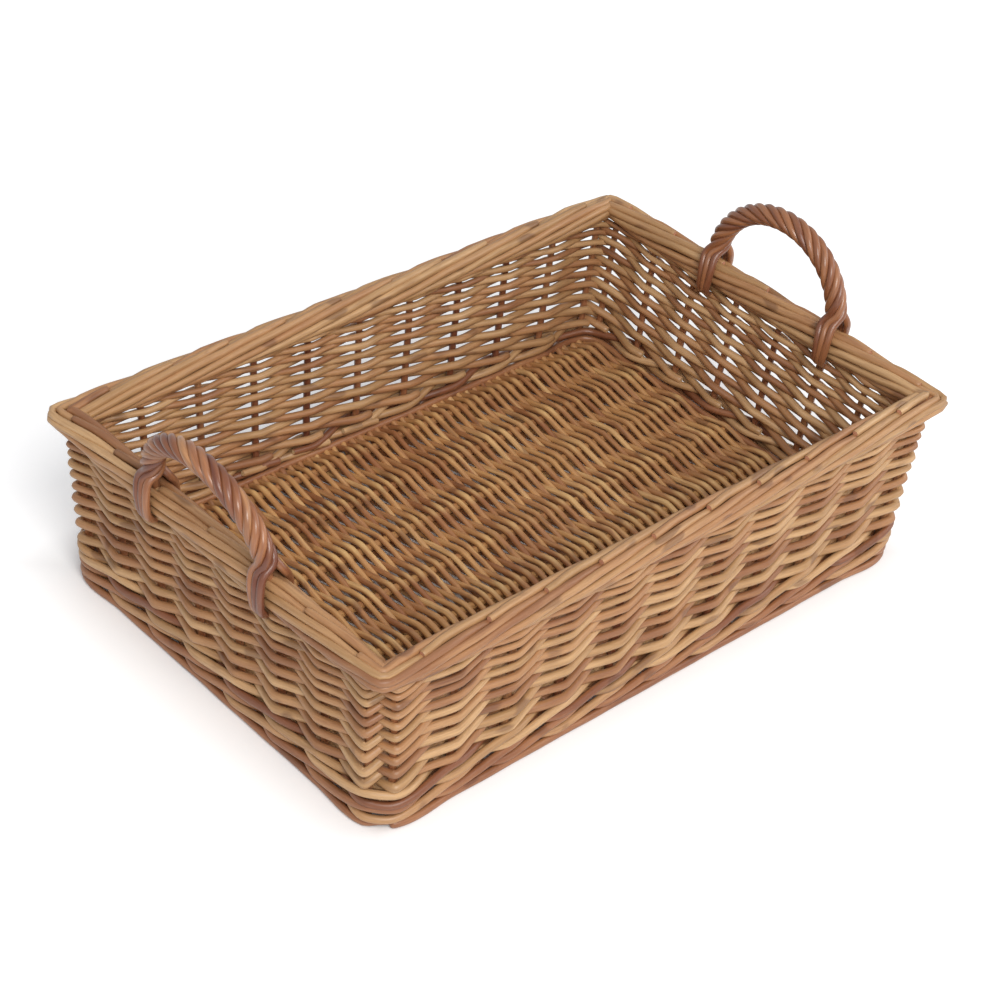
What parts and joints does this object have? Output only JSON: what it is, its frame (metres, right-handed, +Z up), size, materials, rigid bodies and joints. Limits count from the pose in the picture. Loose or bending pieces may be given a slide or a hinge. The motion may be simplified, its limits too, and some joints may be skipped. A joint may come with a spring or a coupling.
{
  "type": "wicker display basket",
  "caption": "Rectangular woven willow basket with slanting side weave, rolled rod border, woven base and a roped arch handle at each end.",
  "frame": {"origin": "middle of the rectangle on which the basket stands, at the level of its foot", "axes": "+X along the long side, +Y along the short side, +Z up"},
  "size_m": [0.6102, 0.3958, 0.2413],
  "materials": {
    "buff_willow": "satin",
    "dark_willow": "satin",
    "golden_willow": "satin",
    "reddish_willow": "satin"
  },
  "bodies": {
    "root": {"base_stick_1": "golden_willow", "base_stick_2": "golden_willow", "base_stick_3": "golden_willow", "base_stick_4": "golden_willow", "base_stick_5": "golden_willow", "base_stick_6": "golden_willow", "base_stick_7": "golden_willow", "base_weaver": "golden_willow", "foot_ring": "reddish_willow", "front_border": "buff_willow", "front_stake_1": "buff_willow", "front_stake_10": "buff_willow", "front_stake_11": "buff_willow", "front_stake_2": "buff_willow", "front_stake_3": "buff_willow", "front_stake_4": "buff_willow", "front_stake_5": "buff_willow", "front_stake_7": "buff_willow", "front_stake_8": "buff_willow", "front_stake_9": "buff_willow", "left_border": "buff_willow", "left_handle_bow": "dark_willow", "left_handle_rope_rod_1": "dark_willow", "left_handle_rope_rod_2": "dark_willow", "left_handle_rope_rod_3": "dark_willow", "left_stake_1": "buff_willow", "left_stake_2": "buff_willow", "left_stake_3": "buff_willow", "left_stake_4": "buff_willow", "left_stake_6": "buff_willow", "left_stake_7": "buff_willow", "left_stake_8": "buff_willow", "rear_border": "buff_willow", "rear_stake_1": "buff_willow", "rear_stake_10": "buff_willow", "rear_stake_11": "buff_willow", "rear_stake_2": "buff_willow", "rear_stake_3": "buff_willow", "rear_stake_4": "buff_willow", "rear_stake_5": "buff_willow", "rear_stake_7": "buff_willow", "rear_stake_8": "buff_willow", "rear_stake_9": "buff_willow", "right_border": "buff_willow", "right_handle_bow": "dark_willow", "right_handle_rope_rod_1": "dark_willow", "right_handle_rope_rod_2": "dark_willow", "right_handle_rope_rod_3": "dark_willow", "right_stake_1": "buff_willow", "right_stake_2": "buff_willow", "right_stake_3": "buff_willow", "right_stake_4": "buff_willow", "right_stake_6": "buff_willow", "right_stake_7": "buff_willow", "right_stake_8": "buff_willow", "siding": "buff_willow", "wale_rod_1": "reddish_willow", "wale_rod_2": "reddish_willow"}
  },
  "joints": []
}
